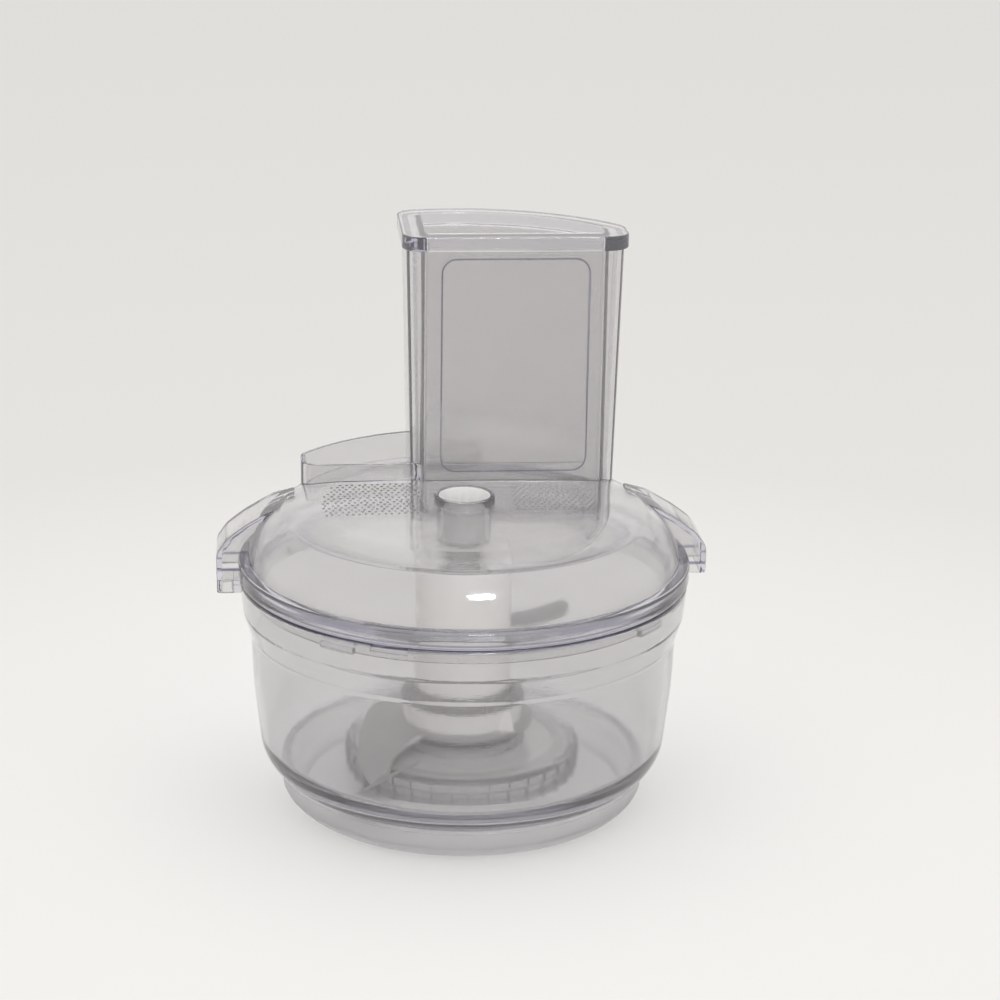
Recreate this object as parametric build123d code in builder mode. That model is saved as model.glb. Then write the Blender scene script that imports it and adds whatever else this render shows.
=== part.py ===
"""Clear food-processor bowl, for a blender base: bowl, lid with feed chute, pusher, blade hub and drive.

Millimetres. Origin at the centre of the foot ring's underside, +Z up along the drive axis. The flat
front of the feed chute faces -Y, and the lid's two ears stand out along -X and +X.
"""

import os
from math import cos, radians, sin

from build123d import *

# ---------------------------------------------------------------- driving dimensions
# bowl
foot_r = 60.0  # outer radius of the ring that the bowl stands on
foot_wall = 2.6
skirt_r = 66.6  # outer radius where the skirt meets the bowl
skirt_top_z = 12.6
floor_z = 16.0  # upper face of the ring-shaped floor
floor_t = 2.2
middle_t = 2.5  # wall of the plateau and of the boss
plateau_r = 42.0  # raised middle of the floor
plateau_z = 20.8
boss_r = 22.0  # boss under the blade hub
boss_z = 26.0
rim_z = 83.5
rim_r = 80.2
rim_inner_r = 77.2
bowl_wall = 2.4
# lid
flat_r = 62.0  # edge of the lid's flat top
flat_z = 109.0
crown_z = 110.0  # the flat top rises this high in its middle
lid_r = 80.6
lid_wall = 2.2
seat_z = 83.7  # underside of the lid's rim, just clear of the bowl's
wall_y = 26.0  # front wall of the raised pocket and of the chute
pocket_r = 70.5  # its curved back wall
pocket_end_x = -57.5
pocket_right_x = 50.0  # inside the chute
pocket_wall = 1.8
pocket_z = 116.0
chute_mid_x = 19.7
chute_base_w = 73.6
chute_top_w = 78.2
chute_z = 195.0
chute_bottom_z = 92.0
chute_wall = 2.0
chute_lean = 1.2  # its front and back spread this far from bottom to top
# pusher
pusher_gap = 1.0
pusher_wall = 1.8
pusher_bottom_z = 93.0
pusher_top_z = 200.5
# hub and blades
column_r = 17.25
column_z = 91.5
core_r = 13.0
blade_t = 1.5
root_z = 29.4  # upper face of the lower blade's root
tip_drop = 6.8
blade_r = 57.5
upper_blade_z = 58.6
# drive
shaft_r = 4.0
running = 0.05  # radial clearance of every running fit
seal_r = 8.2  # outer radius of the seal in the middle of the bowl's floor

os.makedirs("parts", exist_ok=True)


def finish(built, label):
    """Label a finished sub-part and write it as its own STEP file."""
    built.part.label = label
    export_step(built.part, f"parts/{label}.step")


def polar(radius, azimuth):
    """Point in the XY plane from a radius and an azimuth in degrees."""
    return (radius * cos(radians(azimuth)), radius * sin(radians(azimuth)))


def sector(inner_r, outer_r, width):
    """Closed outline of a piece of ring centred on the X axis, its width in degrees."""
    half = width / 2
    CenterArc((0, 0), outer_r, -half, width)
    CenterArc((0, 0), inner_r, -half, width)
    Line(polar(inner_r, -half), polar(outer_r, -half))
    Line(polar(inner_r, half), polar(outer_r, half))


def circles_at(built, radius, height):
    """Circular edges of a part that have this radius and lie at this height."""
    circles = built.edges().filter_by(GeomType.CIRCLE)
    return circles.filter_by(lambda e: abs(e.radius - radius) < 0.01 and abs(e.center().Z - height) < 0.01)


# ---------------------------------------------------------------- bowl
lug_count = 4
lug_first = -128.0  # azimuth of the first bayonet lug of the lid
lug_width = 10.0  # degrees
lug_z = 77.6  # underside of the lugs
lug_t = 2.4
lug_r = 76.6
lock_turn = 15.0  # the lid locks after turning this far
ledge_inner_r = 75.0
ledge_t = 2.0
hook_y = (6.0, 20.0)
hook_x = (78.6, 88.4)  # it stands out on the -X side
hook_z = (74.4, 79.3)
window_x = 84.6
window_size = (4.6, 10.0)
rib_count = 36  # ribs round the bowl's raised middle and round the collar below it
step_rib_r = 0.7
step_rib_top = plateau_z - 1.0

with BuildPart() as bowl:
    with BuildSketch(Plane.XZ) as bowl_section:
        with BuildLine():
            Line((foot_r - foot_wall, 0), (foot_r, 0))
            RadiusArc((foot_r, 0), (skirt_r - 1.2, 5.2), -9)
            Line((skirt_r - 1.2, 5.2), (skirt_r, skirt_top_z))
            ThreePointArc((skirt_r, skirt_top_z), (70.9, 16.8), (73.4, 24.0))
            Polyline((73.4, 24.0), (75.8, 46.0), (76.3, 63.0), (79.2, 72.0), (rim_r, rim_z))
            Line((rim_r, rim_z), (rim_inner_r, rim_z))
            Polyline(
                (rim_inner_r, rim_z),
                (rim_inner_r - 0.4, 72.5),
                (76.3 - bowl_wall, 63.5),
                (75.8 - bowl_wall, 46.0),
                (71.2, 26.0),
            )
            ThreePointArc((71.2, 26.0), (68.2, 19.0), (61.5, floor_z))
            Polyline(
                (61.5, floor_z),
                (plateau_r, floor_z),
                (plateau_r, plateau_z),
                (boss_r, plateau_z),
                (boss_r, boss_z),
                (seal_r, boss_z),
                (seal_r, boss_z - middle_t),
                (boss_r - middle_t, boss_z - middle_t),
                (boss_r - middle_t, plateau_z - middle_t),
                (plateau_r - middle_t, plateau_z - middle_t),
                (plateau_r - middle_t, floor_z - floor_t),
                (skirt_r - foot_wall - 0.4, floor_z - floor_t),
                (skirt_r - foot_wall - 0.8, 6.0),
                (foot_r - foot_wall, 0),
            )
        make_face()
    revolve(axis=Axis.Z)
    fillet(circles_at(bowl, plateau_r, plateau_z), 1.6)
    fillet(circles_at(bowl, boss_r, plateau_z) + circles_at(bowl, boss_r, boss_z), 1.0)
    # upright ribs round the raised middle
    with BuildSketch(Plane.XY.offset(floor_z)) as step_rib_plan:
        with PolarLocations(plateau_r, rib_count):
            Circle(step_rib_r)
    extrude(amount=step_rib_top - floor_z)
    # ledges inside the rim, which the lid's lugs turn under
    with BuildSketch(Plane.XY.offset(lug_z + lug_t + 0.4)) as ledge_plan:
        with PolarLocations(0, lug_count, lug_first + lock_turn):
            with BuildLine():
                sector(ledge_inner_r, rim_inner_r + 0.4, lug_width)
            make_face()
    extrude(amount=ledge_t)
    # hook under the lid's left ear
    with BuildSketch(Plane.XY.offset(hook_z[0])) as hook_plan:
        with Locations((-sum(hook_x) / 2, sum(hook_y) / 2)):
            Rectangle(hook_x[1] - hook_x[0], hook_y[1] - hook_y[0])
    extrude(amount=hook_z[1] - hook_z[0])
    with BuildSketch(Plane.XY.offset(hook_z[0])) as hook_window:
        with Locations((-window_x, sum(hook_y) / 2)):
            RectangleRounded(*window_size, 1.0)
    extrude(amount=hook_z[1] - hook_z[0], mode=Mode.SUBTRACT)
finish(bowl, "bowl")

# ---------------------------------------------------------------- parts under the bowl's floor
collar_z = (8.3, 13.6)
collar_r = plateau_r - 0.9
collar_web = 2.5
clamp_z = 15.2  # underside of the bearing housing's flange
flange_t = 2.1
rib_r = 1.0
bush_outer_r = 7.0

with BuildPart() as retaining_collar:
    with BuildSketch(Plane.XZ) as collar_section:
        with BuildLine():
            Polyline(
                (29.0, collar_z[0]),
                (collar_r, collar_z[0]),
                (collar_r, collar_z[1]),
                (39.2, collar_z[1]),
                (39.2, clamp_z),
                (35.5, clamp_z),
                (35.5, collar_z[0] + collar_web),
                (29.0, collar_z[0] + collar_web),
                close=True,
            )
        make_face()
    revolve(axis=Axis.Z)
    # grip ribs round the outside
    with BuildSketch(Plane.XY.offset(collar_z[0])) as rib_plan:
        with PolarLocations(collar_r, rib_count):
            Circle(rib_r)
    extrude(amount=collar_z[1] - collar_z[0])
finish(retaining_collar, "retaining_collar")

with BuildPart() as bearing_housing:
    with BuildSketch(Plane.XZ) as housing_section:
        with BuildLine():
            Polyline(
                (bush_outer_r, 13.5),
                (13.0, 13.5),
                (14.0, clamp_z),
                (38.0, clamp_z),
                (38.0, clamp_z + flange_t),
                (19.2, clamp_z + flange_t),
                (19.2, 23.3),
                (bush_outer_r, 23.3),
                close=True,
            )
        make_face()
    revolve(axis=Axis.Z)
finish(bearing_housing, "bearing_housing")

with BuildPart() as housing_gasket:
    with BuildSketch(Plane.XY.offset(clamp_z + flange_t)) as gasket_plan:
        Circle(37.8)
        Circle(33.0, mode=Mode.SUBTRACT)
    extrude(amount=plateau_z - middle_t - clamp_z - flange_t)
finish(housing_gasket, "housing_gasket")

for bush_label, bush_z in {"lower_bush": (13.5, 17.0), "upper_bush": (18.2, 22.0)}.items():
    with BuildPart() as bush:
        with BuildSketch(Plane.XY.offset(bush_z[0])):
            Circle(bush_outer_r)
            Circle(shaft_r + running, mode=Mode.SUBTRACT)
        extrude(amount=bush_z[1] - bush_z[0])
        chamfer(bush.edges().filter_by(GeomType.CIRCLE).group_by(Axis.Z)[-1], 0.4)
    finish(bush, bush_label)

with BuildPart() as shaft_seal:
    with BuildSketch(Plane.XZ) as seal_section:
        with BuildLine():
            Polyline(
                (shaft_r + 1.6, 23.5),
                (seal_r, 23.5),
                (seal_r, 25.9),
                (shaft_r + running, 25.9),
                (shaft_r + running, 25.2),
                (shaft_r + 1.6, 24.6),
                close=True,
            )
        make_face()
    revolve(axis=Axis.Z)
finish(shaft_seal, "shaft_seal")

# ---------------------------------------------------------------- drive
coupling_z = (1.5, 12.0)
lobe_z = 9.5  # upper face of the coupling's lobes
lobe_count = 6
socket_r = 5.0
socket_depth = 6.0
key_w = 2.0
clip_z = (22.3, 23.1)
clip_groove = 0.5
hex_flats = 6.8
hex_start_z = 38.0
shaft_top_z = 80.0

with BuildPart() as drive_shaft:
    with BuildSketch(Plane.XY.offset(coupling_z[0] + socket_depth)):
        Circle(shaft_r)
    extrude(amount=hex_start_z - coupling_z[0] - socket_depth)
    with BuildSketch(Plane.XY.offset(clip_z[0])):
        Circle(shaft_r + 0.1)
        Circle(shaft_r - clip_groove, mode=Mode.SUBTRACT)
    extrude(amount=clip_z[1] - clip_z[0], mode=Mode.SUBTRACT)
    with BuildSketch(Plane.XY.offset(hex_start_z)):
        RegularPolygon(hex_flats / 2, 6, major_radius=False)
    extrude(amount=shaft_top_z - hex_start_z)
    chamfer(drive_shaft.edges().group_by(Axis.Z)[-1], 0.6)
finish(drive_shaft, "drive_shaft")

with BuildPart() as retaining_clip:
    with BuildSketch(Plane.XY.offset(clip_z[0])):
        Circle(6.2)
        Circle(shaft_r - clip_groove, mode=Mode.SUBTRACT)
        with Locations((5.0, 0)):
            Rectangle(4.0, 2.4, mode=Mode.SUBTRACT)
    extrude(amount=clip_z[1] - clip_z[0])
finish(retaining_clip, "retaining_clip")

with BuildPart() as thrust_washer:
    with BuildSketch(Plane.XY.offset(12.2)):
        Circle(8.5)
        Circle(shaft_r + running, mode=Mode.SUBTRACT)
    extrude(amount=1.0)
finish(thrust_washer, "thrust_washer")

with BuildPart() as drive_coupling:
    with BuildSketch(Plane.XY.offset(coupling_z[0])):
        Circle(13.0)
        with PolarLocations(13.2, lobe_count):
            SlotCenterToCenter(2.4, 6.0)
    extrude(amount=lobe_z - coupling_z[0])
    with BuildSketch(Plane.XY.offset(lobe_z)):
        Circle(10.0)
    extrude(amount=coupling_z[1] - lobe_z, taper=8)
    with BuildSketch(Plane.XY.offset(coupling_z[0])):
        Circle(socket_r)
        with PolarLocations(socket_r, 3):
            Rectangle(key_w, key_w)
    extrude(amount=socket_depth, mode=Mode.SUBTRACT)
    with BuildSketch(Plane.XY.offset(coupling_z[0] + socket_depth)):
        Circle(shaft_r)
    extrude(amount=coupling_z[1], mode=Mode.SUBTRACT)
finish(drive_coupling, "drive_coupling")

# ---------------------------------------------------------------- hub
shoulder_z = 42.0
insert_r = 8.5
insert_z = (39.0, 82.0)
spigot_r = 6.0
spigot_z = 105.5
core_z = 26.6
spigot_root_r = 5.0
spigot_root_z = 84.0

upper_outer = [(16.0, 5.5), (28.0, 7.0), (36.5, 14.0), (41.5, 25.0), (40.0, 36.5)]
upper_inner = [(40.0, 36.5), (33.0, 29.5), (25.0, 24.0), (13.0, 17.0)]
upper_tab = [(13.0, 17.0), (7.5, 9.5), (9.5, 3.5), (16.0, 5.5)]  # inside the column

with BuildPart() as upper_blade:
    with BuildSketch(Plane.XY.offset(upper_blade_z - blade_t)) as upper_plan:
        with BuildLine():
            Spline(*upper_outer)
            Spline(*upper_inner)
            Polyline(*upper_tab)
        make_face()
    extrude(amount=blade_t)
finish(upper_blade, "upper_blade")

with BuildPart() as hub_column:
    with BuildSketch(Plane.XY.offset(core_z)):
        Circle(core_r)
    extrude(amount=shoulder_z - core_z)
    with BuildSketch(Plane.XY.offset(shoulder_z)):
        Circle(column_r)
    extrude(amount=column_z - shoulder_z)
    fillet(hub_column.edges().filter_by(GeomType.CIRCLE).group_by(Axis.Z)[-1], 1.8)
    with BuildSketch(Plane.XY.offset(core_z)):
        Circle(insert_r)
    extrude(amount=insert_z[1] - core_z, mode=Mode.SUBTRACT)
    with BuildSketch(Plane.XY.offset(spigot_root_z)):
        Circle(spigot_root_r)
    extrude(amount=column_z - spigot_root_z, mode=Mode.SUBTRACT)
    # the upper blade is moulded into the column
    add(upper_blade.part, mode=Mode.SUBTRACT)
finish(hub_column, "hub_column")

with BuildPart() as hub_insert:
    with BuildSketch(Plane.XY.offset(insert_z[0])):
        Circle(insert_r)
        Circle(insert_r - 1.4, mode=Mode.SUBTRACT)
    extrude(amount=insert_z[1] - insert_z[0])
    with BuildSketch(Plane.XY.offset(44.0)):
        Circle(insert_r - 1.2)
        RegularPolygon(hex_flats / 2 + running, 6, major_radius=False, mode=Mode.SUBTRACT)
    extrude(amount=30.0)
finish(hub_insert, "hub_insert")

with BuildPart() as hub_spigot:
    with BuildSketch(Plane.XY.offset(spigot_root_z)):
        Circle(spigot_root_r)
    extrude(amount=column_z - spigot_root_z)
    with BuildSketch(Plane.XY.offset(column_z)):
        Circle(spigot_r)
    extrude(amount=spigot_z - column_z)
    fillet(hub_spigot.edges().group_by(Axis.Z)[-1], 3.5)
finish(hub_spigot, "hub_spigot")

# ---------------------------------------------------------------- lower blade, collar and clamp ring
disc_r = 25.4
ring_r = 22.6
cone_drop = 3.5
ring_t = 1.1
cone_z = shoulder_z - cone_drop
lower_outer = [
    polar(disc_r, 100),
    polar(33.0, 122),
    polar(34.8, 150),
    polar(36.6, 188),
    polar(42.2, 205),
    polar(50.6, 221),
    polar(blade_r, 233.5),
]
lower_inner = [
    polar(blade_r, 233.5),
    polar(49.0, 235),
    polar(43.0, 231.5),
    polar(36.0, 229.5),
    polar(disc_r, 234),
]

with BuildPart() as lower_blade:
    with BuildSketch(Plane.XY.offset(15)) as lower_plan:
        with BuildLine():
            Spline(*lower_outer)
            Spline(*lower_inner)
            Polyline(polar(disc_r, 234), (0, 0), polar(disc_r, 100))
        make_face()
        Circle(disc_r)
        Circle(core_r, mode=Mode.SUBTRACT)
    extrude(amount=20)
    # dish of constant thickness: flat at the root, falling towards the tip
    with BuildSketch(Plane.XZ) as dish_section:
        with BuildLine():
            Polyline(
                (core_r, root_z - blade_t),
                (disc_r, root_z - blade_t),
                (blade_r + 2, root_z - blade_t - tip_drop),
                (blade_r + 2, root_z - tip_drop),
                (disc_r, root_z),
                (core_r, root_z),
                close=True,
            )
        make_face()
    revolve(axis=Axis.Z, mode=Mode.INTERSECT)
finish(lower_blade, "lower_blade")

with BuildPart() as base_washer:
    with BuildSketch(Plane.XY.offset(26.8)):
        Circle(disc_r - 1.2)
        Circle(core_r, mode=Mode.SUBTRACT)
    extrude(amount=root_z - blade_t - 26.8)
    fillet(base_washer.edges().filter_by(GeomType.CIRCLE).group_by(Axis.Z)[0].sort_by(SortBy.RADIUS)[-1], 0.6)
finish(base_washer, "base_washer")

with BuildPart() as clamp_ring:
    with BuildSketch(Plane.XZ) as ring_section:
        with BuildLine():
            Polyline(
                (core_r, shoulder_z - ring_t),
                (column_r - 0.4, shoulder_z - ring_t),
                (ring_r, cone_z - ring_t),
                (ring_r, cone_z),
                (column_r, shoulder_z),
                (core_r, shoulder_z),
                close=True,
            )
        make_face()
    revolve(axis=Axis.Z)

rivet_count = 5
rivet_first = -112.0
rivet_r = 19.9
rivet_z = shoulder_z - (rivet_r - column_r) * cone_drop / (ring_r - column_r)
rivet_tilt = 33.2  # the ring's slope, in degrees
rivet_head_r = 2.5

shank_r = 1.2


def rivet_plane(index):
    """Plane of one rivet's head, on the clamp ring's slope and facing out of it."""
    azimuth = radians(rivet_first + index * 360 / rivet_count)
    lean = radians(rivet_tilt)
    foot = (rivet_r * cos(azimuth), rivet_r * sin(azimuth), rivet_z)
    normal = (sin(lean) * cos(azimuth), sin(lean) * sin(azimuth), cos(lean))
    return Plane(origin=foot, z_dir=normal)


with BuildPart() as rivet_blank:
    for index in range(rivet_count):
        with BuildSketch(rivet_plane(index)):
            Circle(shank_r)
        extrude(amount=-5.0)
        with BuildSketch(rivet_plane(index).offset(-0.3)):
            Circle(rivet_head_r)
        extrude(amount=1.3, taper=35)

with BuildPart() as shank_holes:
    for index in range(rivet_count):
        with BuildSketch(rivet_plane(index).offset(1.0)):
            Circle(shank_r)
        extrude(amount=-6.0)

with BuildPart() as drilled_ring:
    add(clamp_ring.part)
    add(shank_holes.part, mode=Mode.SUBTRACT)
finish(drilled_ring, "clamp_ring")

with BuildPart() as blade_rivets:
    add(rivet_blank.part)
    add(drilled_ring.part, mode=Mode.SUBTRACT)
finish(blade_rivets, "blade_rivets")

lug_azimuth = -52.0
with BuildPart() as blade_collar:
    with BuildSketch(Plane.XZ) as collar_wall:
        with BuildLine():
            Polyline(
                (core_r, root_z),
                (21.4, root_z),
                (ring_r - 0.3, cone_z - ring_t + 0.2),
                (column_r - 0.4, shoulder_z - ring_t),
                (core_r, shoulder_z - ring_t),
                close=True,
            )
        make_face()
    revolve(axis=Axis.Z)
    # wedge that helps food along, standing out of the collar
    with BuildSketch(Plane.XY.offset(root_z)):
        with BuildLine():
            Polyline(
                polar(20.0, lug_azimuth - 10),
                polar(26.0, lug_azimuth + 4),
                polar(20.0, lug_azimuth + 7),
                close=True,
            )
        make_face()
    extrude(amount=7.2, taper=6)
    add(shank_holes.part, mode=Mode.SUBTRACT)
    add(drilled_ring.part, mode=Mode.SUBTRACT)
finish(blade_collar, "blade_collar")

# ---------------------------------------------------------------- lid
well_r = 9.6
well_rim_r = 10.9
well_rim_z = 112.8
well_z = 93.6
bush_r = 8.0
bush_z = (94.6, 112.5)
funnel_z = 108.0  # the well widens above this height
flare_r = 9.3
skirt_lid_r = 74.6
ear_y = (4.0, 25.0)
ear_x = 88.4
ear_wall = 2.0
ear_outline = [
    (60, 108.4),
    (68, 106.4),
    (78, 100.5),
    (84.5, 95.6),
    (ear_x, 90),
    (ear_x, 80),
    (78, 80),
    (60, 98),
]
ear_inside = [
    (58, 107),
    (67.2, 104.4),
    (76.8, 98.6),
    (82.9, 94),
    (ear_x - ear_wall, 89.2),
    (ear_x - ear_wall, 78),
    (58, 78),
]
panel_size = (53.0, 79.0)  # shallow panel on the front of the chute
panel_z = 152.5  # height of its middle
panel_depth = 0.8
corner_r = 6.0


def chute_outline(width, shrink, back_r, front_y):
    """Closed plan of the chute or the pusher: flat front, straight sides and a back that follows the lid."""
    left = chute_mid_x - width / 2 + shrink
    right = chute_mid_x + width / 2 - shrink
    front = front_y + shrink
    back = back_r - shrink
    left_y = (back**2 - left**2) ** 0.5
    right_y = (back**2 - right**2) ** 0.5
    Polyline((left, left_y), (left, front), (right, front), (right, right_y))
    middle = (left + right) / 2
    ThreePointArc((right, right_y), (middle, (back**2 - middle**2) ** 0.5), (left, left_y))


with BuildPart() as dome:
    with BuildSketch(Plane.XZ) as dome_section:
        with BuildLine():
            ThreePointArc((0, crown_z), (flat_r / 2, crown_z - 0.25), (flat_r, flat_z))
            ThreePointArc((flat_r, flat_z), (70.6, 103.4), (77.3, 90.6))
            Line((77.3, 90.6), (79.4, 90.3))
            RadiusArc((79.4, 90.3), (lid_r, 88.9), 1.4)
            Polyline((lid_r, 88.9), (lid_r, seat_z), (skirt_lid_r, seat_z))
            Polyline((skirt_lid_r, seat_z), (skirt_lid_r, lug_z), (72.8, lug_z), (72.8, 84.5))
            Line((72.8, 84.5), (75.0, 89.6))
            ThreePointArc((75.0, 89.6), (68.9, 101.7), (flat_r - 1.2, flat_z - lid_wall))
            ThreePointArc(
                (flat_r - 1.2, flat_z - lid_wall),
                (flat_r / 2, crown_z - lid_wall - 0.25),
                (0, crown_z - lid_wall),
            )
            Line((0, crown_z - lid_wall), (0, crown_z))
        make_face()
    revolve(axis=Axis.Z)

with BuildPart() as under_dome:
    # everything below the lid's outer surface, used to trim what stands on it
    with BuildSketch(Plane.XZ) as under_section:
        with BuildLine():
            ThreePointArc((0, crown_z - 1.0), (flat_r / 2, crown_z - 1.25), (flat_r - 0.5, flat_z - 1.0))
            ThreePointArc((flat_r - 0.5, flat_z - 1.0), (69.8, 102.6), (76.2, 90.0))
            Polyline((76.2, 90.0), (79.0, 89.0), (79.0, 60.0), (0, 60.0), (0, crown_z - 1.0))
        make_face()
    revolve(axis=Axis.Z)

with BuildPart() as pocket:
    # raised wall round the back of the lid: straight in front, curved behind
    with BuildSketch(Plane.XY.offset(90)) as pocket_plan:
        with BuildLine():
            left_y = (pocket_r**2 - pocket_end_x**2) ** 0.5
            right_y = (pocket_r**2 - pocket_right_x**2) ** 0.5
            Polyline((pocket_end_x, left_y), (pocket_end_x, wall_y), (pocket_right_x, wall_y))
            Line((pocket_right_x, wall_y), (pocket_right_x, right_y))
            ThreePointArc((pocket_right_x, right_y), (0, pocket_r), (pocket_end_x, left_y))
        make_face()
        fillet(pocket_plan.vertices().group_by(Axis.X)[0], 6.0)
        offset(amount=-pocket_wall, mode=Mode.SUBTRACT, kind=Kind.INTERSECTION)
    extrude(amount=pocket_z - 90)
    add(under_dome.part, mode=Mode.SUBTRACT)

with BuildPart() as chute_block:
    with BuildSketch(Plane.XY.offset(chute_bottom_z)) as chute_low:
        with BuildLine():
            chute_outline(chute_base_w, 0, pocket_r, wall_y)
        make_face()
        fillet(chute_low.vertices(), corner_r)
    with BuildSketch(Plane.XY.offset(chute_z)) as chute_high:
        with BuildLine():
            chute_outline(chute_top_w, 0, pocket_r + chute_lean, wall_y - chute_lean)
        make_face()
        fillet(chute_high.vertices(), corner_r)
    loft()
    # shallow panel sunk into the front, square to its slight lean
    lean = chute_lean / (chute_z - chute_bottom_z)
    front_middle = (chute_mid_x, wall_y - lean * (panel_z - chute_bottom_z), panel_z)
    with BuildSketch(Plane(origin=front_middle, x_dir=(1, 0, 0), z_dir=(0, -1, -lean))):
        RectangleRounded(*panel_size, 5.3)
    extrude(amount=-panel_depth, mode=Mode.SUBTRACT)

with BuildPart() as chute_bore:
    with BuildSketch(Plane.XY.offset(chute_bottom_z - 1)) as bore_low:
        with BuildLine():
            chute_outline(chute_base_w, chute_wall, pocket_r, wall_y)
        make_face()
        fillet(bore_low.vertices(), corner_r - chute_wall)
    with BuildSketch(Plane.XY.offset(chute_z + 1)) as bore_high:
        with BuildLine():
            chute_outline(chute_top_w, chute_wall, pocket_r + chute_lean, wall_y - chute_lean)
        make_face()
        fillet(bore_high.vertices(), corner_r - chute_wall)
    loft()

with BuildPart() as ears:
    with BuildSketch(Plane.XZ.offset(-ear_y[0])) as ear_section:
        for side in (-1, 1):
            with BuildLine():
                Polyline(*[(side * x, z) for x, z in ear_outline], close=True)
            make_face()
    extrude(amount=-(ear_y[1] - ear_y[0]))
    with BuildSketch(Plane.XZ.offset(-ear_y[0] - ear_wall)) as ear_hollow:
        for side in (-1, 1):
            with BuildLine():
                Polyline(*[(side * x, z) for x, z in ear_inside], close=True)
            make_face()
    extrude(amount=-(ear_y[1] - ear_y[0] - 2 * ear_wall), mode=Mode.SUBTRACT)
    add(under_dome.part, mode=Mode.SUBTRACT)
    with BuildSketch(Plane.XY.offset(hook_z[0])) as rim_clear:
        Circle(rim_r + 0.5)
    extrude(amount=seat_z - hook_z[0], mode=Mode.SUBTRACT)

with BuildPart() as lid:
    add(dome.part)
    add(pocket.part)
    add(ears.part)
    add(chute_block.part)
    # well in the middle, which holds the bush for the hub's spigot
    with BuildSketch(Plane.XY.offset(well_z)):
        Circle(well_r)
    extrude(amount=crown_z - well_z)
    with BuildSketch(Plane.XY.offset(crown_z - 1.5)):
        Circle(well_rim_r)
    extrude(amount=well_rim_z - crown_z + 1.5)
    with BuildSketch(Plane.XY.offset(well_z)):
        Circle(bush_r)
    extrude(amount=well_rim_z - well_z, mode=Mode.SUBTRACT)
    with BuildSketch(Plane.XY.offset(funnel_z)):
        Circle(bush_r)
    extrude(amount=well_rim_z - funnel_z + 0.4, taper=-18, mode=Mode.SUBTRACT)
    add(chute_bore.part, mode=Mode.SUBTRACT)
    # the lugs of the bayonet
    with BuildSketch(Plane.XY.offset(lug_z)) as lug_plan:
        with PolarLocations(0, lug_count, lug_first):
            with BuildLine():
                sector(skirt_lid_r - 0.5, lug_r, lug_width)
            make_face()
    extrude(amount=lug_t)
finish(lid, "lid")

with BuildPart() as lid_bush:
    # its flared top lines the well's funnel
    with BuildSketch(Plane.XZ) as bush_section:
        with BuildLine():
            Polyline(
                (spigot_r + running, bush_z[0]),
                (bush_r - running, bush_z[0]),
                (bush_r - running, funnel_z),
                (flare_r, bush_z[1]),
                (flare_r - 0.7, bush_z[1]),
                (spigot_r + running, funnel_z - 1.2),
                close=True,
            )
        make_face()
    revolve(axis=Axis.Z)
finish(lid_bush, "lid_bush")

# ---------------------------------------------------------------- pusher
flange_z = chute_z + 0.2
flange_out = 1.6
inset = chute_wall + pusher_gap

with BuildPart() as pusher:
    with BuildSketch(Plane.XY.offset(pusher_bottom_z)) as pusher_plan:
        with BuildLine():
            chute_outline(chute_base_w, inset, pocket_r, wall_y)
        make_face()
        fillet(pusher_plan.vertices(), corner_r - inset)
    extrude(amount=pusher_top_z - pusher_bottom_z)
    with BuildSketch(Plane.XY.offset(flange_z)) as flange_plan:
        with BuildLine():
            chute_outline(chute_top_w, -flange_out, pocket_r + chute_lean, wall_y - chute_lean)
        make_face()
        fillet(flange_plan.vertices(), corner_r)
    extrude(amount=pusher_top_z - flange_z)
    fillet(pusher.faces().sort_by(Axis.Z)[0].edges(), 2.0)
    with BuildSketch(Plane.XY.offset(pusher_bottom_z + 2.5)) as pusher_hollow:
        with BuildLine():
            chute_outline(chute_base_w, inset + pusher_wall, pocket_r, wall_y)
        make_face()
        fillet(pusher_hollow.vertices(), corner_r - inset - pusher_wall)
    extrude(amount=pusher_top_z - pusher_bottom_z, mode=Mode.SUBTRACT)
finish(pusher, "pusher")
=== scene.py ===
"""Looks of a clear food-processor bowl: bowl, lid with feed chute, pusher, blade hub and drive.

Every length in the classes below is in millimetres and every angle in degrees, in the frame of the
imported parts: the origin in the middle of the foot ring's underside, +Z up the drive axis, and the
flat front of the feed chute towards -Y. Finished meshes are in metres.
"""

import logging
from collections.abc import Callable, Iterator, Sequence
from contextlib import contextmanager
from dataclasses import dataclass, field
from enum import Enum
from math import atan2, cos, degrees, hypot, radians, sin, tau
from random import Random

import bpy
from mathutils import Matrix, Vector


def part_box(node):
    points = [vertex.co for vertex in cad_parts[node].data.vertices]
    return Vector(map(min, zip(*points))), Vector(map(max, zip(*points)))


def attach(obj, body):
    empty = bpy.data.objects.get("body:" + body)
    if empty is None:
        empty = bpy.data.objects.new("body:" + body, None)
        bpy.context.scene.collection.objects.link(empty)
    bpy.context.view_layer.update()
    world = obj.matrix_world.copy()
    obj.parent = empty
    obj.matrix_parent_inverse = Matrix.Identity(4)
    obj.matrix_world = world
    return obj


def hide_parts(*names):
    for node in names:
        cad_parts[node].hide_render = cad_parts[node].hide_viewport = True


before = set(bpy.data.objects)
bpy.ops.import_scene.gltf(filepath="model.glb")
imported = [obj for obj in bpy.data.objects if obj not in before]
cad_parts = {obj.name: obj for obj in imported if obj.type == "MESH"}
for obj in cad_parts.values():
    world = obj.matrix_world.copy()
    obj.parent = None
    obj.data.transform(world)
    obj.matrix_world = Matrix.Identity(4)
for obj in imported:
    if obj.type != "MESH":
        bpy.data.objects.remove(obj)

log = logging.getLogger("food_processor")

MM = 0.001
Pair = tuple[float, float]
Test = Callable[[Vector], bool]
CLEAR = "clear_plastic"


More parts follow.
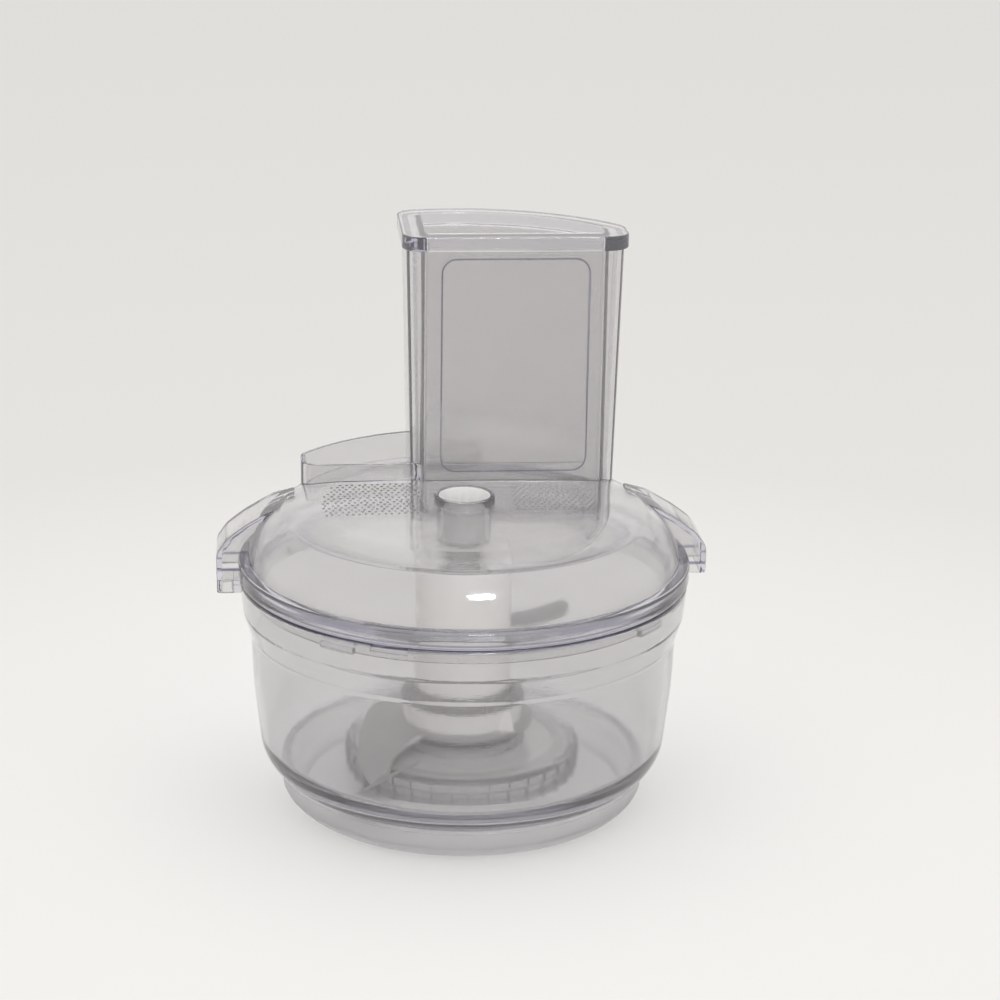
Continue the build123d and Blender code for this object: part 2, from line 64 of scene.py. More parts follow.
# ------------------------------------------------------------------------------ modelling by hand
class View(Enum):
    """The plane that an outline is drawn in."""

    SECTION = "radius and height, to be turned about the drive axis"
    PLAN = "across and along, to be raised"
    FRONT = "across and height, to be drawn out along Y"


class Joinery(Enum):
    """What a second solid does to the first."""

    ADD = "UNION"
    CUT = "DIFFERENCE"


class Pick(Enum):
    """What an edit works on."""

    POINTS = "VERT"
    EDGES = "EDGE"
    FACES = "FACE"


@dataclass(frozen=True)
class Stop:
    """One corner of an outline, in millimetres.

    The stretch that leads to it is straight, or an arc through `via`. `soft` is how far the
    rounding of the corner reaches along both of its sides.
    """

    u: float
    v: float
    soft: float = 0.0
    via: Pair | None = None


def deselect() -> None:
    """Leave nothing selected, so that the next operator works on its own piece only."""
    for thing in list(bpy.context.selected_objects):
        thing.select_set(False)


def on_circle(radius: float, azimuth: float, centre: Pair = (0.0, 0.0)) -> Pair:
    """Give the point of a circle at an azimuth.

    Args:
        radius: the circle's radius.
        azimuth: the angle from +X, in degrees.
        centre: the circle's centre.

    Returns:
        The point, in the units of the radius.
    """
    turn = radians(azimuth)
    return centre[0] + radius * cos(turn), centre[1] + radius * sin(turn)


def circle_through(a: Pair, b: Pair, c: Pair) -> Pair:
    """Find the centre of the circle through three points.

    Args:
        a: the first point.
        b: the second point.
        c: the third point.

    Returns:
        The circle's centre.
    """
    span = 2 * (a[0] * (b[1] - c[1]) + b[0] * (c[1] - a[1]) + c[0] * (a[1] - b[1]))
    aa, bb, cc = (p[0] ** 2 + p[1] ** 2 for p in (a, b, c))
    x = (aa * (b[1] - c[1]) + bb * (c[1] - a[1]) + cc * (a[1] - b[1])) / span
    y = (aa * (c[0] - b[0]) + bb * (a[0] - c[0]) + cc * (b[0] - a[0])) / span
    return x, y


class Workpiece:
    """A mesh that grows from a speck by edit-mode operators, as on a modelling bench."""

    speck = 0.001
    touch = 2e-6
    arc_step = 4.0

    def __init__(self, name: str, body: bpy.types.Object) -> None:
        """Take a mesh object onto the bench under a name."""
        self.body = body
        self.body.name = self.body.data.name = name
        self.view = View.SECTION
        self.level = 0.0

    @classmethod
    def drawn(
        cls,
        name: str,
        stops: Sequence[Stop],
        view: View = View.SECTION,
        level: float = 0.0,
        closed: bool = True,
    ) -> "Workpiece":
        """Draw an outline, point after point.

        Args:
            name: the piece's name.
            stops: the outline's corners, in order.
            view: the plane of the outline.
            level: how far that plane stands from the origin.
            closed: whether the last corner is joined to the first.

        Returns:
            The piece, still a wire.
        """
        deselect()
        bpy.ops.mesh.primitive_plane_add(size=cls.speck)
        piece = cls(name, bpy.context.active_object)
        piece.view, piece.level = view, level
        with piece.edit(Pick.POINTS):
            bpy.ops.mesh.select_all(action="SELECT")
            bpy.ops.mesh.merge(type="CENTER")
            bpy.ops.transform.translate(value=piece.place((stops[0].u, stops[0].v)))
            for before, stop in zip(stops, stops[1:]):
                piece.reach((before.u, before.v), stop)
        ends = [piece.place((stop.u, stop.v)) for stop in (stops[0], stops[-1])]
        if closed and (ends[0] - ends[1]).length > cls.touch:
            piece.select_points(lambda co: any((co - end).length < cls.touch for end in ends))
            with piece.edit(Pick.POINTS):
                bpy.ops.mesh.edge_face_add()
        for stop in stops:
            if stop.soft:
                piece.soften_corner(stop)
        return piece

    @classmethod
    def copied(cls, name: str, node: str) -> "Workpiece":
        """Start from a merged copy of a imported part.

        Args:
            name: the new piece's name.
            node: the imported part's name.

        Returns:
            The piece, with flat runs of triangles joined into single faces.
        """
        deselect()
        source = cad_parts[node]
        body = bpy.data.objects.new(name, source.data.copy())
        bpy.context.scene.collection.objects.link(body)
        piece = cls(name, body)
        piece.activate()
        if body.data.has_custom_normals:
            bpy.ops.mesh.customdata_custom_splitnormals_clear()
        with piece.edit(Pick.FACES):
            bpy.ops.mesh.select_all(action="SELECT")
            bpy.ops.mesh.remove_doubles(threshold=cls.touch)
            bpy.ops.mesh.dissolve_limited(angle_limit=radians(0.8))
        return piece

    def repeated(self, places: Sequence[Matrix]) -> "Workpiece":
        """Set copies of the piece at several places and join them into one mesh.

        Args:
            places: where each copy goes, in metres; the first model is used up.

        Returns:
            The joined piece.
        """
        model, name = self.body, self.body.name
        copies = []
        for matrix in places:
            copy = bpy.data.objects.new(name, model.data.copy())
            bpy.context.scene.collection.objects.link(copy)
            copy.data.transform(matrix)
            copies.append(copy)
        bpy.data.objects.remove(model)
        deselect()
        for copy in copies:
            copy.select_set(True)
        bpy.context.view_layer.objects.active = copies[0]
        bpy.ops.object.join()
        return Workpiece(name, copies[0])

    def place(self, spot: Pair) -> Vector:
        """Turn a spot of the outline into a point of the frame, in metres."""
        u, v = spot
        if self.view is View.PLAN:
            return Vector((u, v, self.level)) * MM
        return Vector((u, self.level, v)) * MM

    def activate(self) -> None:
        """Make this the one selected, active object."""
        deselect()
        self.body.select_set(True)
        bpy.context.view_layer.objects.active = self.body

    @contextmanager
    def edit(self, pick: Pick) -> Iterator[None]:
        """Open the piece for edit-mode operators, with what was selected in code.

        Args:
            pick: what the operators work on.

        Yields:
            Nothing.
        """
        self.activate()
        modes = tuple(pick is each for each in Pick)
        bpy.context.tool_settings.mesh_select_mode = modes
        bpy.ops.object.mode_set(mode="EDIT")
        yield
        bpy.ops.object.mode_set(mode="OBJECT")

    def reach(self, start: Pair, stop: Stop) -> None:
        """Draw the stretch from the last corner to the next one.

        Args:
            start: the last corner.
            stop: the next corner.
        """
        if stop.via is None:
            step = self.place((stop.u, stop.v)) - self.place(start)
            bpy.ops.mesh.extrude_region_move(TRANSFORM_OT_translate={"value": step})
            return
        end = (stop.u, stop.v)
        centre = circle_through(start, stop.via, end)
        first, middle, last = (
            degrees(atan2(p[1] - centre[1], p[0] - centre[0])) for p in (start, stop.via, end)
        )
        sweep = (last - first) % 360
        if (middle - first) % 360 > sweep:
            sweep -= 360
        axis = Vector((0, 0, -1)) if self.view is View.PLAN else Vector((0, 1, 0))
        steps = max(2, round(abs(sweep) / self.arc_step))
        bpy.ops.mesh.spin(steps=steps, angle=radians(sweep), center=self.place(centre), axis=axis)

    def soften_corner(self, stop: Stop) -> None:
        """Round one corner of the outline."""
        corner = self.place((stop.u, stop.v))
        self.select_points(lambda co: (co - corner).length < self.touch)
        segments = min(8, max(2, round(3 * stop.soft)))
        with self.edit(Pick.POINTS):
            bpy.ops.mesh.bevel(offset=stop.soft * MM, segments=segments, affect="VERTICES")

    def select_points(self, test: Test) -> None:
        """Select the points whose place passes a test."""
        mesh = self.body.data
        for face in mesh.polygons:
            face.select = False
        for edge in mesh.edges:
            edge.select = False
        for point in mesh.vertices:
            point.select = test(point.co)

    def select_edges(self, test: Callable[[Vector, Vector], bool]) -> None:
        """Select the edges whose two ends together pass a test."""
        mesh = self.body.data
        for thing in (*mesh.polygons, *mesh.vertices):
            thing.select = False
        for edge in mesh.edges:
            edge.select = test(*(mesh.vertices[i].co for i in edge.vertices))

    def turn(self, steps: int = 160) -> "Workpiece":
        """Turn the outline once about the drive axis into a closed shell."""
        with self.edit(Pick.POINTS):
            bpy.ops.mesh.select_all(action="SELECT")
            bpy.ops.mesh.spin(steps=steps, angle=tau, center=(0, 0, 0), axis=(0, 0, 1))
        return self.tidy()

    def raise_to(self, level: float) -> "Workpiece":
        """Fill the outline and draw it out into a solid.

        Args:
            level: how far the far face stands from the origin, along the outline's normal.

        Returns:
            The piece.
        """
        along = Vector((0, 0, 1)) if self.view is View.PLAN else Vector((0, 1, 0))
        with self.edit(Pick.POINTS):
            bpy.ops.mesh.select_all(action="SELECT")
            bpy.ops.mesh.remove_doubles(threshold=self.touch)
            bpy.ops.mesh.edge_face_add()
            bpy.ops.mesh.extrude_region_move(
                TRANSFORM_OT_translate={"value": along * (level - self.level) * MM}
            )
        return self.tidy()

    def tidy(self) -> "Workpiece":
        """Merge points that coincide and turn every face outwards."""
        with self.edit(Pick.POINTS):
            bpy.ops.mesh.select_all(action="SELECT")
            bpy.ops.mesh.remove_doubles(threshold=self.touch)
            bpy.ops.mesh.normals_make_consistent(inside=False)
        return self

    def bevel_edges(self, reach: float, segments: int = 3) -> "Workpiece":
        """Round the selected edges.

        Args:
            reach: how far the rounding reaches from the edge.
            segments: its number of strips.

        Returns:
            The piece.
        """
        with self.edit(Pick.EDGES):
            bpy.ops.mesh.bevel(offset=reach * MM, segments=segments, affect="EDGES")
        return self

    def round_sharp(self, reach: float, angle: float = 40.0, segments: int = 2) -> "Workpiece":
        """Round every edge that is sharper than an angle, as a mould leaves it."""
        rounding = self.body.modifiers.new("moulded_edge", "BEVEL")
        rounding.width = reach * MM
        rounding.segments = segments
        rounding.limit_method = "ANGLE"
        rounding.angle_limit = radians(angle)
        rounding.use_clamp_overlap = True
        return self.apply(rounding)

    def fit(self, other: "Workpiece", how: Joinery) -> "Workpiece":
        """Add or cut the space of another solid, which is used up.

        Args:
            other: the second solid.
            how: what it does.

        Returns:
            The piece.
        """
        joint = self.body.modifiers.new("joint", "BOOLEAN")
        joint.operation = how.value
        joint.solver = "EXACT"
        joint.object = other.body
        self.apply(joint)
        bpy.data.objects.remove(other.body)
        return self

    def apply(self, modifier: bpy.types.Modifier) -> "Workpiece":
        """Make a modifier's result the mesh itself."""
        self.activate()
        bpy.ops.object.modifier_apply(modifier=modifier.name)
        return self

    def smooth(self, angle: float = 32.0) -> "Workpiece":
        """Shade smoothly across every edge flatter than an angle, and keep large flat faces flat."""
        self.activate()
        bpy.ops.object.shade_smooth_by_angle(angle=radians(angle))
        weighted = self.body.modifiers.new("flat_faces", "WEIGHTED_NORMAL")
        weighted.mode = "FACE_AREA"
        weighted.weight = 100
        weighted.keep_sharp = True
        return self.apply(weighted)


# ------------------------------------------------------------------------------ shader maths
class Wire:
    """The output of a shader node, usable in Python sums; each operator adds a Math node."""

    def __init__(self, graph: "Graph", socket: bpy.types.NodeSocket) -> None:
        """Wrap one output socket of a graph."""
        self.graph = graph
        self.socket = socket

    def _math(self, operation: str, *values: "Wire | float") -> "Wire":
        """Add a Math node on this wire's graph."""
        return self.graph.add("ShaderNodeMath", {"operation": operation}, *values)

    def __add__(self, other: "Wire | float") -> "Wire":
        """Sum of the two."""
        return self._math("ADD", self, other)

    def __sub__(self, other: "Wire | float") -> "Wire":
        """First less the second."""
        return self._math("SUBTRACT", self, other)

    def __rsub__(self, other: float) -> "Wire":
        """A number less this wire."""
        return self._math("SUBTRACT", other, self)

    def __mul__(self, other: "Wire | float") -> "Wire":
        """Product of the two."""
        return self._math("MULTIPLY", self, other)

    def size(self) -> "Wire":
        """Give the value without its sign."""
        return self._math("ABSOLUTE", self)

    def root(self) -> "Wire":
        """Give the square root."""
        return self._math("SQRT", self)

    def at_least(self, other: "Wire | float") -> "Wire":
        """Give the larger of two values."""
        return self._math("MAXIMUM", self, other)

    def at_most(self, other: "Wire | float") -> "Wire":
        """Give the smaller of two values."""
        return self._math("MINIMUM", self, other)

    def __gt__(self, other: float) -> "Wire":
        """One where this wire is the larger, else zero."""
        return self._math("GREATER_THAN", self, other)

    def __lt__(self, other: float) -> "Wire":
        """One where this wire is the smaller, else zero."""
        return self._math("LESS_THAN", self, other)

    __radd__ = __add__
    __rmul__ = __mul__


class Graph:
    """The node tree of one material, with its Principled shader."""

    def __init__(self, name: str) -> None:
        """Start a material with the given name."""
        self.material = bpy.data.materials.new(name)
        self.material.use_nodes = True
        self.tree = self.material.node_tree
        self.surface = self.tree.nodes["Principled BSDF"]
        self.output = self.tree.nodes["Material Output"]

    def add(self, kind: str, settings: dict[str, object], *values: object, **named: object) -> Wire:
        """Add a node.

        Args:
            kind: the node's type.
            settings: its properties, set first.
            values: numbers or wires for its inputs, in order.
            named: numbers or wires for its inputs, by name with _ for a space.

        Returns:
            The node's first output.
        """
        node = self.tree.nodes.new(kind)
        for key, value in settings.items():
            setattr(node, key, value)
        for key, value in (*enumerate(values), *((k.replace("_", " "), v) for k, v in named.items())):
            self.feed(node.inputs[key], value)
        return Wire(self, node.outputs[0])

    def feed(self, socket: bpy.types.NodeSocket, value: object) -> None:
        """Set an input socket to a number or colour, or link a wire to it."""
        if isinstance(value, Wire):
            self.tree.links.new(value.socket, socket)
        else:
            socket.default_value = value

    def set(self, **values: object) -> None:
        """Feed inputs of the Principled shader, by name with _ for a space."""
        for key, value in values.items():
            self.feed(self.surface.inputs[key.replace("_", " ")], value)

    def place(self) -> Wire:
        """Object coordinates, in metres of the shared frame."""
        coordinates = self.tree.nodes.new("ShaderNodeTexCoord")
        return Wire(self, coordinates.outputs["Object"])

    def axes(self, place: Wire) -> tuple[Wire, Wire, Wire]:
        """Split a place into its three numbers."""
        split = self.tree.nodes.new("ShaderNodeSeparateXYZ")
        self.feed(split.inputs[0], place)
        x, y, z = (Wire(self, output) for output in split.outputs)
        return x, y, z

    def stretched(self, place: Wire, scale: tuple[float, float, float]) -> Wire:
        """Stretch a place along the three axes."""
        return self.add("ShaderNodeMapping", {}, Vector=place, Scale=scale)

    def noise(self, place: Wire, scale: float, detail: float = 2.0) -> Wire:
        """Soft noise; its scale is in waves per metre."""
        return self.add("ShaderNodeTexNoise", {}, Vector=place, Scale=scale, Detail=detail)

    def between(self, value: Wire, low: float, high: float, to: Pair = (0.0, 1.0)) -> Wire:
        """Map a value from one range to another, held at its ends."""
        ends = {"From_Min": low, "From_Max": high, "To_Min": to[0], "To_Max": to[1]}
        return self.add("ShaderNodeMapRange", {"clamp": True}, Value=value, **ends)

    def blend(self, mask: Wire, first: object, second: object) -> Wire:
        """Mix two colours by a mask."""
        node = self.tree.nodes.new("ShaderNodeMix")
        node.data_type = "RGBA"
        for key, value in ((0, mask), (6, first), (7, second)):
            self.feed(node.inputs[key], value)
        return Wire(self, node.outputs[2])

    def bump(self, height: Wire, depth: float, strength: float = 1.0, after: Wire | None = None) -> Wire:
        """Turn a height, in units of `depth` millimetres, into a surface normal."""
        inputs = {"Height": height, "Distance": depth * MM, "Strength": strength}
        if after is not None:
            inputs["Normal"] = after
        return self.add("ShaderNodeBump", {}, **inputs)


Colour = tuple[float, float, float, float]


def grey(level: float, warm: float = 0.0) -> Colour:
    """A neutral colour, a little warm or, below zero, a little cool."""
    return level * (1 + warm), level, level * (1 - warm), 1.0


# ------------------------------------------------------------------------------ finishes
@dataclass(frozen=True)
class ClearPlastic:
    """Polished clear plastic, seen through; thick places go grey-violet. A dark tint can be painted on as
    painted shade: in a band of heights at the seam, and in a thin line round the chute's panel.
    """

    name: str
    tint: Colour
    depth_colour: Colour = (0.74, 0.73, 0.86, 1.0)
    depth_density: float = 40.0
    polish: float = 0.015
    ior: float = 1.57
    wave_depth: float = 0.35
    scuff_depth: float = 0.012
    frost_below: float = 0.0
    frost: float = 0.0
    milk: float = 0.0
    # painted shade: the dark colour painted in the seam band and in the line round the chute's panel
    painted_shade_tint: Colour = (0.24, 0.24, 0.34, 1.0)
    # painted shade: the band of heights, in millimetres, painted dark where lid and bowl meet
    seam_shade_band: Pair | None = None
    # painted shade: the panel whose outline gets a painted dark line
    panel: tuple[float, float, float, float] | None = None
    panel_corner: float = 5.3
    panel_y: float = 27.5
    line_width: float = 0.45

    def panel_shade_line(self, across: Wire, along: Wire, up: Wire) -> Wire:
        """Paint a thin dark line round the chute's front panel, as painted shade at its sunken edge."""
        left, right, low, high = (edge * MM for edge in self.panel)
        soft = self.panel_corner * MM
        beside = (across - (left + right) / 2).size() - ((right - left) / 2 - soft)
        above = (up - (low + high) / 2).size() - ((high - low) / 2 - soft)
        corner_x, corner_z = beside.at_least(0.0), above.at_least(0.0)
        away = (corner_x * corner_x + corner_z * corner_z).root() + beside.at_least(above).at_most(0.0) - soft
        return (away.size() < self.line_width / 2 * MM) * (along < self.panel_y * MM)

    def build(self) -> bpy.types.Material:
        """Make the material."""
        graph = Graph(self.name)
        place = graph.place()
        x, y, z = graph.axes(place)
        tint: Wire | Colour = self.tint
        # painted shade: a dark band where lid and bowl meet, for the shade in the gap between their rims
        if self.seam_shade_band:
            tint = graph.blend((z > self.seam_shade_band[0] * MM) * (z < self.seam_shade_band[1] * MM), tint, self.painted_shade_tint)
        # painted shade: a thin dark line round the chute's sunken front panel
        if self.panel:
            tint = graph.blend(self.panel_shade_line(x, y, z), tint, self.painted_shade_tint)
        flow = graph.noise(graph.stretched(place, (1.0, 1.0, 0.45)), 34.0, 1.0)
        scuffs = graph.noise(graph.stretched(place, (1.0, 1.0, 6.0)), 420.0, 4.0)
        smudge = graph.between(graph.noise(place, 60.0, 3.0), 0.5, 0.72)
        rough = self.polish + smudge * 0.03
        if self.frost:
            rough = rough + graph.between(z, self.frost_below * MM, (self.frost_below - 4) * MM) * self.frost
        normal = graph.bump(flow, self.wave_depth)
        normal = graph.bump(scuffs, self.scuff_depth, after=normal)
        graph.set(
            Base_Color=tint,
            Roughness=rough,
            IOR=self.ior,
            Transmission_Weight=1.0 - self.milk,
            Normal=normal,
        )
        depth = graph.tree.nodes.new("ShaderNodeVolumeAbsorption")
        depth.inputs["Color"].default_value = self.depth_colour
        depth.inputs["Density"].default_value = self.depth_density
        graph.tree.links.new(depth.outputs[0], graph.output.inputs["Volume"])
        return graph.material


@dataclass(frozen=True)
class MouldedPlastic:
    """Opaque moulded plastic, with a faint orange peel and uneven gloss."""

    name: str
    colour: Colour
    worn: Colour
    gloss: float = 0.34
    peel_depth: float = 0.02
    glow: float = 0.0

    def build(self) -> bpy.types.Material:
        """Make the material."""
        graph = Graph(self.name)
        place = graph.place()
        cloud = graph.between(graph.noise(place, 45.0, 4.0), 0.35, 0.7)
        peel = graph.noise(place, 1400.0, 2.0)
        marks = graph.between(graph.noise(graph.stretched(place, (1, 1, 7)), 260.0, 5.0), 0.58, 0.7)
        graph.set(
            Base_Color=graph.blend(cloud, self.colour, self.worn),
            Roughness=self.gloss + marks * 0.12 + cloud * 0.05,
            IOR=1.5,
            Subsurface_Weight=self.glow,
            Subsurface_Radius=(1.0, 0.95, 0.9),
            Subsurface_Scale=0.002,
            Normal=graph.bump(peel, self.peel_depth),
        )
        return graph.material


@dataclass(frozen=True)
class Metal:
    """Metal with a directional grain: ring marks from turning, or straight strokes from brushing."""

    name: str
    colour: Colour
    dull: Colour
    gloss: float
    grain: tuple[float, float, float]
    grain_scale: float = 90.0
    grain_depth: float = 0.006

    def build(self) -> bpy.types.Material:
        """Make the material."""
        graph = Graph(self.name)
        place = graph.place()
        strokes = graph.noise(graph.stretched(place, self.grain), self.grain_scale, 5.0)
        cloud = graph.between(graph.noise(place, 55.0, 3.0), 0.35, 0.7)
        graph.set(
            Base_Color=graph.blend(cloud, self.colour, self.dull),
            Metallic=1.0,
            Roughness=self.gloss + graph.between(strokes, 0.3, 0.7) * 0.16 + cloud * 0.05,
            Normal=graph.bump(strokes, self.grain_depth),
        )
        return graph.material


@dataclass(frozen=True)
class Rubber:
    """Matt pale seal silicone with a fine tooth and a dusty bloom."""

    name: str = "seal_silicone"
    colour: Colour = (0.56, 0.56, 0.55, 1.0)
    bloom: Colour = (0.64, 0.64, 0.63, 1.0)

    def build(self) -> bpy.types.Material:
        """Make the material."""
        graph = Graph(self.name)
        place = graph.place()
        dust = graph.between(graph.noise(place, 300.0, 5.0), 0.45, 0.75)
        graph.set(
            Base_Color=graph.blend(dust, self.colour, self.bloom),
            Roughness=0.62 + dust * 0.2,
            Normal=graph.bump(graph.noise(place, 2600.0, 3.0), 0.03),
        )
        return graph.material


class Finishes:
    """Every finish of the object, made once."""

    def __init__(self) -> None:
        """Make the materials."""
        # The bowl and the lid get painted shade in a band at their seam, and the lid a painted dark line
        # round its chute's panel.
        self.bowl = ClearPlastic(
            "clear_polymer_bowl", grey(0.78, 0.006), frost_below=14.0, frost=0.3, milk=0.05, seam_shade_band=(82.9, 83.9)
        ).build()
        self.lid = ClearPlastic(
            "clear_polymer_lid",
            grey(0.82, 0.006),
            polish=0.045,
            milk=0.04,
            seam_shade_band=(83.5, 84.3),
            panel=Lid.panel,
        ).build()
        self.pusher = ClearPlastic(
            "clear_polymer_pusher", grey(0.84, 0.006), wave_depth=0.25, milk=0.05
        ).build()
        self.collar = ClearPlastic("clear_polymer_collar", grey(0.985)).build()
        self.cup = ClearPlastic(
            "frosted_polymer_cup", grey(0.97, 0.01), polish=0.3, depth_density=4.0, milk=0.6
        ).build()
        self.white = MouldedPlastic(
            "white_polymer", grey(0.93, 0.014), grey(0.87, 0.022), gloss=0.24, glow=0.12
        ).build()
        self.bush = MouldedPlastic("bush_polymer", grey(0.78, 0.0), grey(0.70, 0.01), gloss=0.25).build()
        self.nylon = MouldedPlastic("coupling_nylon", grey(0.62), grey(0.55), gloss=0.42).build()
        self.blade = Metal("brushed_steel", grey(0.50), grey(0.45), 0.34, (1.0, 9.0, 1.0)).build()
        self.turned = Metal("turned_steel", grey(0.36), grey(0.31), 0.16, (1.0, 1.0, 14.0), 160.0).build()
        self.bronze = Metal(
            "bush_bronze_sintered",
            colour=(0.42, 0.26, 0.13, 1.0),
            dull=(0.33, 0.20, 0.10, 1.0),
            gloss=0.4,
            grain=(1.0, 1.0, 1.0),
            grain_scale=900.0,
        ).build()
        self.rubber = Rubber().build()


def dress(body: bpy.types.Object, finish: bpy.types.Material) -> None:
    """Give every slot of an object one finish."""
    slots = body.data.materials
    if not slots:
        slots.append(finish)
    for index in range(len(slots)):
        slots[index] = finish


def hand_over(piece: Workpiece, node: str, body: str, slot: str, finish: bpy.types.Material) -> None:
    """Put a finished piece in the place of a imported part.

    Args:
        piece: the finished piece.
        node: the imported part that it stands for.
        body: the moving body that it rides on.
        slot: the record's material slot.
        finish: its material.
    """
    piece.smooth()
    dress(piece.body, finish)
    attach(piece.body, body)
    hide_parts(node)
    piece.body.visible_shadow = slot != CLEAR
    log.info("%s: %d faces, rides on %s", piece.body.name, len(piece.body.data.polygons), body)


# ------------------------------------------------------------------------------ bowl
@dataclass
class Bowl:
    """The clear bowl with its skirt, raised middle, lid ledges and latch hook."""

    foot_r: float = 60.0
    foot_wall: float = 2.6
    shoulder_r: float = 76.3
    shoulder_z: float = 63.0
    flare_r: float = 79.2
    flare_z: float = 72.0
    wall: float = 2.4
    rim_wall: float = 3.0
    floor_z: float = 16.0
    floor_t: float = 2.2
    plateau: Pair = (42.0, 20.8)
    boss: Pair = (22.0, 26.0)
    middle_t: float = 2.5
    seal_r: float = 8.2
    ledge_r: Pair = (75.0, 77.6)
    ledge_z: Pair = (80.4, 82.4)
    ledge_width: float = 10.0
    ledge_azimuth: float = -113.0
    ledge_count: int = 4
    hook_x: Pair = (-88.4, -78.6)
    hook_y: Pair = (6.0, 20.0)
    hook_z: Pair = (74.4, 79.3)
    window: tuple[float, float, float, float] = (-86.9, -82.3, 8.0, 18.0)
    rib_count: int = 36
    rib_r: float = 0.7
    rib_top: float = 19.8
    rim: Vector = field(default_factory=lambda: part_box("bowl")[1] / MM)

    def section(self) -> list[Stop]:
        """Draw the wall's section, from the foot up the outside and back down the inside."""
        rim_r, rim_z = self.rim.y, self.rim.z
        plateau_r, plateau_z = self.plateau
        boss_r, boss_z = self.boss
        under = self.floor_z - self.floor_t
        thin = self.middle_t
        return [
            Stop(self.foot_r, 0.0, 0.5),
            Stop(65.4, 5.2, via=(63.2, 2.0)),
            Stop(66.6, 12.6, 0.4),
            Stop(73.4, 24.0, via=(70.9, 16.8)),
            Stop(75.8, 46.0, 6.0),
            Stop(self.shoulder_r, self.shoulder_z, 0.7),
            Stop(self.flare_r, self.flare_z, 0.6),
            Stop(rim_r, rim_z, 1.5),
            Stop(rim_r - self.rim_wall, rim_z, 0.8),
            Stop(rim_r - self.rim_wall - 0.4, 72.5, 0.6),
            Stop(self.shoulder_r - self.wall, 63.5, 0.7),
            Stop(73.4, 46.0, 6.0),
            Stop(71.2, 26.0),
            Stop(61.5, self.floor_z, via=(68.2, 19.0)),
            Stop(plateau_r, self.floor_z, 0.8),
            Stop(plateau_r, plateau_z, 1.5),
            Stop(boss_r, plateau_z, 0.9),
            Stop(boss_r, boss_z, 1.0),
            Stop(self.seal_r, boss_z, 0.3),
            Stop(self.seal_r, boss_z - thin),
            Stop(boss_r - thin, boss_z - thin, 0.5),
            Stop(boss_r - thin, plateau_z - thin, 0.5),
            Stop(plateau_r - thin, plateau_z - thin, 0.5),
            Stop(plateau_r - thin, under, 0.5),
            Stop(63.6, under, 1.2),
            Stop(63.2, 6.0, 2.0),
            Stop(self.foot_r - self.foot_wall, 0.0, 0.5),
        ]

    def ledge(self, azimuth: float) -> Workpiece:
        """Model one ledge inside the rim, which a lug of the lid turns under."""
        inner, outer = self.ledge_r
        low, high = azimuth - self.ledge_width / 2, azimuth + self.ledge_width / 2
        stops = [
            Stop(*on_circle(outer, low)),
            Stop(*on_circle(outer, high), via=on_circle(outer, azimuth)),
            Stop(*on_circle(inner, high)),
            Stop(*on_circle(inner, low), via=on_circle(inner, azimuth)),
        ]
        block = Workpiece.drawn("ledge", stops, View.PLAN, self.ledge_z[0])
        return block.raise_to(self.ledge_z[1]).round_sharp(0.35)

    def hook(self) -> Workpiece:
        """Model the latch hook on the left, with its window."""
        (left, right), (front, back) = self.hook_x, self.hook_y
        stops = [Stop(left, front, 1.5), Stop(right, front), Stop(right, back), Stop(left, back, 1.5)]
        block = Workpiece.drawn("hook", stops, View.PLAN, self.hook_z[0]).raise_to(self.hook_z[1])
        left, right, front, back = self.window
        stops = [Stop(left, front, 1), Stop(right, front, 1), Stop(right, back, 1), Stop(left, back, 1)]
        hole = Workpiece.drawn("window", stops, View.PLAN, self.hook_z[0] - 1).raise_to(self.hook_z[1] + 1)
        return block.fit(hole, Joinery.CUT).round_sharp(0.4)

    def ribs(self) -> Workpiece:
        """Model the upright ribs round the raised middle."""
        section = [Stop(0.0, self.floor_z - 0.4), Stop(self.rib_r, self.floor_z - 0.4)]
        section += [Stop(self.rib_r, self.rib_top, 0.3), Stop(0.0, self.rib_top)]
        rib = Workpiece.drawn("step_ribs", section, closed=False).turn(12)
        out = Matrix.Translation((self.plateau[0] * MM, 0, 0))
        return rib.repeated(
            [Matrix.Rotation(index * tau / self.rib_count, 4, "Z") @ out for index in range(self.rib_count)]
        )

    def build(self, finishes: Finishes) -> None:
        """Model the bowl and dress it."""
        shell = Workpiece.drawn("bowl_shell", self.section()).turn(192)
        shell.fit(self.ribs(), Joinery.ADD)
        for index in range(self.ledge_count):
            shell.fit(self.ledge(self.ledge_azimuth + index * 360 / self.ledge_count), Joinery.ADD)
        shell.fit(self.hook(), Joinery.ADD)
        hand_over(shell, "bowl", "bowl", CLEAR, finishes.bowl)


